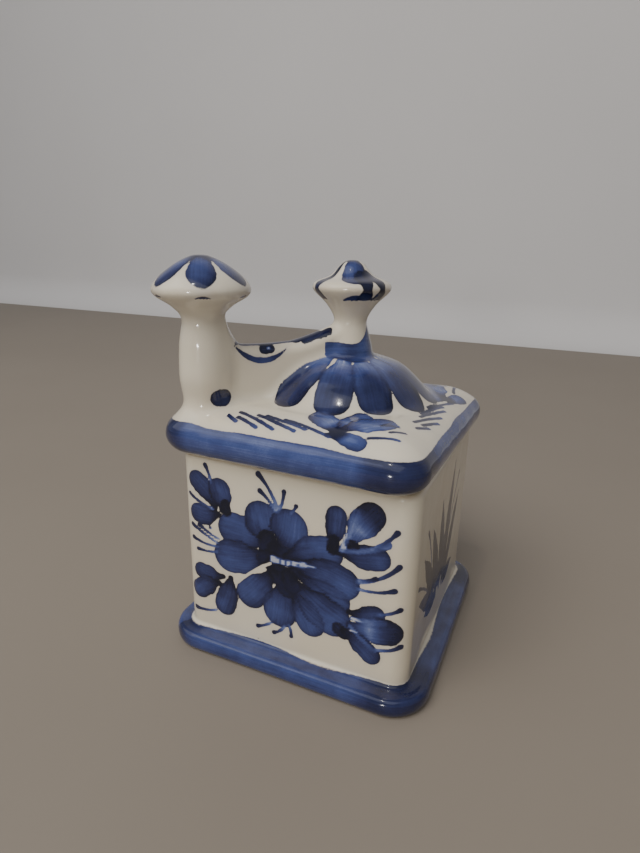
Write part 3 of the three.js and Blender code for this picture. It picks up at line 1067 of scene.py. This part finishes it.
def paint_edge(painting, own):
    """The blue band round the lid's rolled edge, darker round the corners."""
    x, y, z = own.T
    around = np.arctan2(y, x) * LID_HALF
    wavy = 0.2 * np.sin(around / 9.5 + 1) + 0.1 * np.sin(around / 2.7)
    inside = np.minimum(lid_half(x, y) - LID_BAND_HALF + wavy, z - LID_SEAT_Z - 0.3)
    corner = smoothstep(25, 31, np.minimum(np.abs(x), np.abs(y)) + 0.1 * (x - y))
    pigment = 0.54 + 0.34 * corner + 0.14 * np.exp(-np.maximum(inside, 0) / 0.6)
    where = np.nonzero((inside > -2) & (z > 57) & (z < 70))[0]
    painting.lay(where, inside[where], pigment[where], around[where], 2 * z[where])


def paint_lid(own, outward):
    """The lid's painting, and how bare of glaze each place is: the locating rim's edge alone is."""
    clay = LidClay()
    painting = Painting(len(own))
    paint_bell(painting, own, outward, clay)
    paint_collar(painting, own)
    paint_roof(painting, own, outward, clay)
    paint_crank(painting, own, outward, clay)
    paint_finials(painting, own, outward)
    paint_edge(painting, own)
    bare = smoothstep(0.9, 0.2, own[:, 2] - (LID_SEAT_Z - LOCATING_RIM_DROP))
    return painting, bare


def sharpness(piece):
    """How sharply the surface turns outwards at each place: 1 at a tight edge, below 0 in a hollow."""
    mesh = piece.data
    places = places_of(piece)
    ends = np.empty(len(mesh.edges) * 2, np.int32)
    mesh.edges.foreach_get("vertices", ends)
    a, b = ends.reshape(-1, 2).T
    normals = np.empty(len(places) * 3, np.float32)
    mesh.vertices.foreach_get("normal", normals)
    normals = normals.reshape(-1, 3)
    span = places[b] - places[a]
    length = np.maximum((span**2).sum(axis=1), 1e-6)
    bend = ((normals[b] - normals[a]) * span).sum(axis=1) / length
    count = np.maximum(np.bincount(a, minlength=len(places)) + np.bincount(b, minlength=len(places)), 1)
    value = (np.bincount(a, bend, len(places)) + np.bincount(b, bend, len(places))) / count
    for _ in range(3):
        total = np.bincount(a, value[b], len(places)) + np.bincount(b, value[a], len(places))
        value = 0.5 * value + 0.5 * total / count
    return np.clip(1.6 * value, -1, 1)


def keep_painting(piece, painting, bare):
    for part in ("inside", "pigment", "along", "across"):
        store(piece, "brush_" + part, getattr(painting, part))
    store(piece, "unglazed", bare)
    store(piece, "edge_sharpness", sharpness(piece))


# ------------------------------------------------------------------ glaze


PIGMENT_SHADES = (
    (0.0, (0.50, 0.51, 0.58)),
    (0.12, (0.30, 0.34, 0.50)),
    (0.28, (0.112, 0.148, 0.325)),
    (0.42, (0.050, 0.072, 0.215)),
    (0.62, (0.022, 0.029, 0.098)),
    (0.8, (0.008, 0.011, 0.044)),
    (1.0, (0.003, 0.005, 0.018)),
)
BLEED_COLOUR = (0.16, 0.2, 0.4, 1)
POOLED_GLAZE = (0.62, 0.60, 0.5, 1)
IRON_SPECK = (0.07, 0.05, 0.045, 1)
BISCUIT_TONES = ((0.58, 0.43, 0.29, 1), (0.47, 0.34, 0.22, 1))
BOX_FINISH = {
    "Glaze": (0.73, 0.665, 0.53, 1),
    "Warm Glaze": (0.69, 0.60, 0.45, 1),
    "Specks": 1.0,
    "Raggedness mm": 0.30,
    "Streaks": 0.34,
    "Mottle": 0.34,
}
LID_FINISH = {
    "Glaze": (0.74, 0.685, 0.57, 1),
    "Warm Glaze": (0.70, 0.62, 0.48, 1),
    "Specks": 0.8,
    "Raggedness mm": 0.34,
    "Streaks": 0.30,
    "Mottle": 0.32,
}


def cobalt_brushwork():
    """Colour of brushed cobalt over its ground, with ragged edges, streaks and pooled pigment."""
    inputs = (
        ("Place", "Vector", None),
        ("Ground", "Color", (0.7, 0.66, 0.55, 1)),
        ("Inside mm", "Float", 0.0),
        ("Pigment", "Float", 0.5),
        ("Along mm", "Float", 0.0),
        ("Across mm", "Float", 0.0),
        ("Raggedness mm", "Float", 0.3),
        ("Streaks", "Float", 0.3),
        ("Mottle", "Float", 0.3),
        ("Sharpness", "Float", 0.0),
    )
    group = NodeGroup("cobalt_brushwork", "ShaderNodeTree", inputs, (("Color", "Color"),))
    given, maths = group.given, group.maths
    ragged = maths("MULTIPLY", group.noise(given["Place"], 950.0, 3.0, 0.6), given["Raggedness mm"])
    inside = maths("ADD", given["Inside mm"], ragged)
    cover = group.ease(inside, -0.1, 0.14)
    bleed = group.ease(given["Inside mm"], -1.3, 0.1, 0.0, 0.09)
    lengthwise = maths("MULTIPLY", given["Along mm"], 0.1)
    stretched = group.combine(lengthwise, maths("MULTIPLY", given["Across mm"], 1.5), 0.0)
    streaks = maths("MULTIPLY", group.noise(stretched, 1.0, 3.0, 0.6), given["Streaks"])
    mottle = maths("MULTIPLY", group.noise(given["Place"], 210.0, 4.0, 0.55), given["Mottle"])
    grain = maths("MULTIPLY", group.noise(given["Place"], 2600.0, 1.0), 0.1)
    pigment = maths("ADD", maths("ADD", given["Pigment"], streaks), maths("ADD", mottle, grain))
    pigment = maths("SUBTRACT", pigment, maths("MULTIPLY", maths("MAXIMUM", given["Sharpness"], 0.0), 0.12))
    ramp = group.node("ShaderNodeValToRGB")
    group.plug(ramp.inputs[0], maths("MULTIPLY", pigment, 0.8))
    stops = ramp.color_ramp.elements
    while len(stops) < len(PIGMENT_SHADES):
        stops.new(0.5)
    for stop, (position, colour) in zip(stops, PIGMENT_SHADES):
        stop.position = position
        stop.color = (*colour, 1)
    tinted = group.mix(bleed, given["Ground"], BLEED_COLOUR)
    group.plug(group.out["Color"], group.mix(cover, tinted, ramp.outputs[0]))
    return group.tree


def cream_glaze_ground():
    """Cream glaze over buff earthenware, with iron specks, thin edges and pooled hollows."""
    inputs = (
        ("Place", "Vector", None),
        ("Glaze", "Color", (0.74, 0.68, 0.55, 1)),
        ("Warm Glaze", "Color", (0.70, 0.61, 0.45, 1)),
        ("Body", "Color", (0.5, 0.36, 0.22, 1)),
        ("Sharpness", "Float", 0.0),
        ("Unglazed", "Float", 0.0),
        ("Specks", "Float", 1.0),
        ("Pinholes", "Float", 1.0),
    )
    outputs = (("Color", "Color"), ("Roughness", "Float"), ("Height", "Float"))
    group = NodeGroup("cream_glaze_ground", "ShaderNodeTree", inputs, outputs)
    given, maths = group.given, group.maths
    cloud = group.ease(group.noise(given["Place"], 26.0, 3.0), -0.2, 0.25)
    colour = group.mix(cloud, given["Glaze"], given["Warm Glaze"])
    fine = group.noise(given["Place"], 420.0, 3.0)
    colour = group.mix(maths("ADD", maths("MULTIPLY", fine, 0.25), 0.05), colour, given["Warm Glaze"])
    thin = group.ease(maths("ADD", given["Sharpness"], maths("MULTIPLY", fine, 0.6)), 0.35, 1.0, 0.0, 0.3)
    colour = group.mix(thin, colour, given["Body"])
    pooled = group.ease(given["Sharpness"], -0.15, -0.7, 0.0, 0.35)
    colour = group.mix(pooled, colour, POOLED_GLAZE)

    def chosen_cells(scale, size, rarity):
        cells = group.node("ShaderNodeTexVoronoi")
        group.plug(cells.inputs["Vector"], given["Place"])
        cells.inputs["Scale"].default_value = scale
        dot = group.ease(cells.outputs["Distance"], size, 0.3 * size)
        draw = group.node("ShaderNodeSeparateColor")
        group.plug(draw.inputs[0], cells.outputs["Color"])
        return maths("MULTIPLY", dot, maths("GREATER_THAN", draw.outputs[0], rarity))

    specks = maths("MULTIPLY", chosen_cells(330.0, 0.12, 0.95), maths("MULTIPLY", given["Specks"], 0.65))
    colour = group.mix(specks, colour, IRON_SPECK)
    biscuit = group.mix(group.ease(fine, -0.3, 0.3), *BISCUIT_TONES)
    group.plug(group.out["Color"], group.mix(given["Unglazed"], colour, biscuit))
    gloss = group.ease(group.noise(given["Place"], 70.0, 3.0), -0.3, 0.3, 0.10, 0.19)
    rough = maths("ADD", gloss, maths("MULTIPLY", given["Unglazed"], 0.6))
    group.plug(group.out["Roughness"], rough)
    waves = maths("MULTIPLY", group.noise(given["Place"], 85.0, 2.0), 0.00022)
    skin = maths("MULTIPLY", group.noise(given["Place"], 480.0, 2.0), 0.000012)
    pits = maths("MULTIPLY", chosen_cells(240.0, 0.09, 0.93), maths("MULTIPLY", given["Pinholes"], -0.00006))
    grain = maths("MULTIPLY", group.noise(given["Place"], 3000.0, 3.0), given["Unglazed"])
    grit = maths("MULTIPLY", grain, 0.00008)
    height = maths("ADD", maths("ADD", waves, skin), maths("ADD", pits, grit))
    group.plug(group.out["Height"], height)
    return group.tree


def painted_glaze(name, ground_group, cobalt_group, finish):
    """One casting's finish: tin-white cream glaze over cobalt brushwork."""
    material = bpy.data.materials.new(name)
    material.use_nodes = True
    nodes, links = material.node_tree.nodes, material.node_tree.links
    shader = nodes["Principled BSDF"]
    place = nodes.new("ShaderNodeTexCoord").outputs["Object"]
    ground = nodes.new("ShaderNodeGroup")
    ground.node_tree = ground_group
    cobalt = nodes.new("ShaderNodeGroup")
    cobalt.node_tree = cobalt_group

    def painted(attribute):
        made = nodes.new("ShaderNodeAttribute")
        made.attribute_name = attribute
        return made.outputs["Fac"]

    for group in (ground, cobalt):
        links.new(place, group.inputs["Place"])
        links.new(painted("edge_sharpness"), group.inputs["Sharpness"])
    for part in ("inside mm", "pigment", "along mm", "across mm"):
        links.new(painted("brush_" + part.split()[0]), cobalt.inputs[part.capitalize()])
    links.new(painted("unglazed"), ground.inputs["Unglazed"])
    for label, value in finish.items():
        group = ground if label in ground.inputs else cobalt
        group.inputs[label].default_value = value
    links.new(ground.outputs["Color"], cobalt.inputs["Ground"])
    links.new(cobalt.outputs["Color"], shader.inputs["Base Color"])
    links.new(ground.outputs["Roughness"], shader.inputs["Roughness"])
    bump = nodes.new("ShaderNodeBump")
    bump.inputs["Strength"].default_value = 0.8
    bump.inputs["Distance"].default_value = 1.0
    links.new(ground.outputs["Height"], bump.inputs["Height"])
    links.new(bump.outputs[0], shader.inputs["Normal"])
    shader.inputs["IOR"].default_value = 1.5
    shader.inputs["Coat Roughness"].default_value = 0.03
    coat = nodes.new("ShaderNodeMapRange")
    links.new(painted("unglazed"), coat.inputs[0])
    coat.inputs[3].default_value = 0.4
    coat.inputs[4].default_value = 0.0
    links.new(coat.outputs[0], shader.inputs["Coat Weight"])
    return material


# ------------------------------------------------------------------ stage


CAMERA_PLACE = (58.52, -144.51, 111.48)
CAMERA_TURNS = (24.18, 17.95, -1.13)
CAMERA_LENS = 23.47
BOX_MIDDLE = (0.0, 0.0, 0.06)
TABLE_TONES = ((0.27, 0.232, 0.19), (0.235, 0.2, 0.163))
WALL_TONES = ((0.72, 0.70, 0.69), (0.665, 0.645, 0.635))

# Name, turn and rise in degrees, reach and size in metres, watts, colour. The glaze mirrors all but
# the first, whose edge would show.
LIGHTS = (
    ("room_front", -104, 50, 1.0, (0.7, 0.6), 6.6, (1.0, 0.97, 0.92)),
    ("room_sheen", -100, 60, 1.5, (2.0, 1.1), 4.5, (0.96, 0.98, 1.0)),
    ("room_glow", -150, 38, 1.6, (1.2, 1.2), 3.0, (0.95, 0.97, 1.0)),
    ("ceiling_lamp", -98, 70, 1.0, (0.03, 0.03), 0.6, (1.0, 0.95, 0.88)),
    ("low_window", -86, 6, 1.0, (0.11, 0.05), 1.3, (1.0, 0.98, 0.95)),
)


def plain_surface(name, colour, darker, scale, roughness):
    """A plain pale surface with a little unevenness, for the stage."""
    material = bpy.data.materials.new(name)
    material.use_nodes = True
    nodes, links = material.node_tree.nodes, material.node_tree.links
    shader = nodes["Principled BSDF"]
    noise = nodes.new("ShaderNodeTexNoise")
    links.new(nodes.new("ShaderNodeTexCoord").outputs["Object"], noise.inputs["Vector"])
    noise.inputs["Scale"].default_value = scale
    noise.inputs["Detail"].default_value = 5.0
    mix = nodes.new("ShaderNodeMix")
    mix.data_type = "RGBA"
    links.new(noise.outputs[0], mix.inputs[0])
    mix.inputs[6].default_value = (*colour, 1)
    mix.inputs[7].default_value = (*darker, 1)
    links.new(mix.outputs[2], shader.inputs["Base Color"])
    shader.inputs["Roughness"].default_value = roughness
    return material


def make_floor():
    """A pale table top that curves up into a pale wall behind."""
    half_wide, front, back, wall_high, bend = 4.0, -4.0, 0.62, 2.6, 0.05
    line = [(front, 0.0), (back - bend, 0.0)]
    for i in range(1, 9):
        angle = math.pi / 2 * i / 8
        line.append((back - bend + bend * math.sin(angle), bend - bend * math.cos(angle)))
    line.append((back, wall_high))
    places = [(x, y, z) for y, z in line for x in (-half_wide, half_wide)]
    faces = [(2 * i, 2 * i + 1, 2 * i + 3, 2 * i + 2) for i in range(len(line) - 1)]
    mesh = bpy.data.meshes.new("floor")
    mesh.from_pydata(places, [], faces)
    mesh.materials.append(plain_surface("pale_table", *TABLE_TONES, 6.0, 0.6))
    mesh.materials.append(plain_surface("pale_wall", *WALL_TONES, 5.0, 0.8))
    for face in mesh.polygons:
        face.material_index = 1 if face.center.y > back - bend else 0
    mesh.shade_smooth()
    floor = add_object("floor", mesh)


def aim(turn, rise, reach):
    """A place seen from the box at a turn and a rise in degrees, at a reach in metres."""
    turn, rise = math.radians(turn), math.radians(rise)
    flat = reach * math.cos(rise)
    return Vector((flat * math.cos(turn), flat * math.sin(turn), BOX_MIDDLE[2] + reach * math.sin(rise)))


def soft_light(name, turn, rise, reach, size, watts, colour):
    """A rectangular light that faces the middle of the box."""
    light = bpy.data.lights.new(name, "AREA")
    light.shape = "RECTANGLE"
    light.size, light.size_y = size
    light.energy = watts
    light.color = colour
    holder = add_object(name, light)
    holder.location = aim(turn, rise, reach)
    holder.rotation_euler = (Vector(BOX_MIDDLE) - holder.location).to_track_quat("-Z", "Y").to_euler()
    holder.visible_glossy = name != LIGHTS[0][0]


def light_stage():
    for light in LIGHTS:
        soft_light(*light)
    world = bpy.data.worlds.new("room")
    world.use_nodes = True
    sky = world.node_tree.nodes["Background"]
    sky.inputs["Color"].default_value = (0.85, 0.87, 0.92, 1)
    sky.inputs["Strength"].default_value = 0.26
    bpy.context.scene.world = world


def make_camera():
    """Stands a little right of the front and above, close to the box, a wide lens looking down."""
    yaw, pitch, roll = (math.radians(a) for a in CAMERA_TURNS)
    ahead = Vector((-math.sin(yaw) * math.cos(pitch), math.cos(yaw) * math.cos(pitch), -math.sin(pitch)))
    level = Vector((math.cos(yaw), math.sin(yaw), 0))
    down = ahead.cross(level)
    right = math.cos(roll) * level + math.sin(roll) * down
    below = -math.sin(roll) * level + math.cos(roll) * down
    camera = bpy.data.cameras.new("camera")
    camera.sensor_width = 36.0
    camera.lens = CAMERA_LENS
    camera.clip_start = 0.01
    holder = add_object("camera", camera)
    turn = Matrix((right, -below, -ahead)).transposed().to_4x4()
    holder.matrix_world = Matrix.Translation(Vector(CAMERA_PLACE) * MM) @ turn
    bpy.context.scene.camera = holder


# ------------------------------------------------------------------ the trinket box

make_camera()
light_stage()
make_floor()

GROUND = cream_glaze_ground()
COBALT = cobalt_brushwork()

box = box_casting(painted_glaze("box_glaze", GROUND, COBALT, BOX_FINISH))
keep_painting(box, *paint_box(box))
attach(box, "box")
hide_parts("box_body")

lid, lid_own, lid_outward = lid_casting(painted_glaze("lid_glaze", GROUND, COBALT, LID_FINISH))
keep_painting(lid, *paint_lid(lid_own, lid_outward))
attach(lid, "lid")
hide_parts("lid")
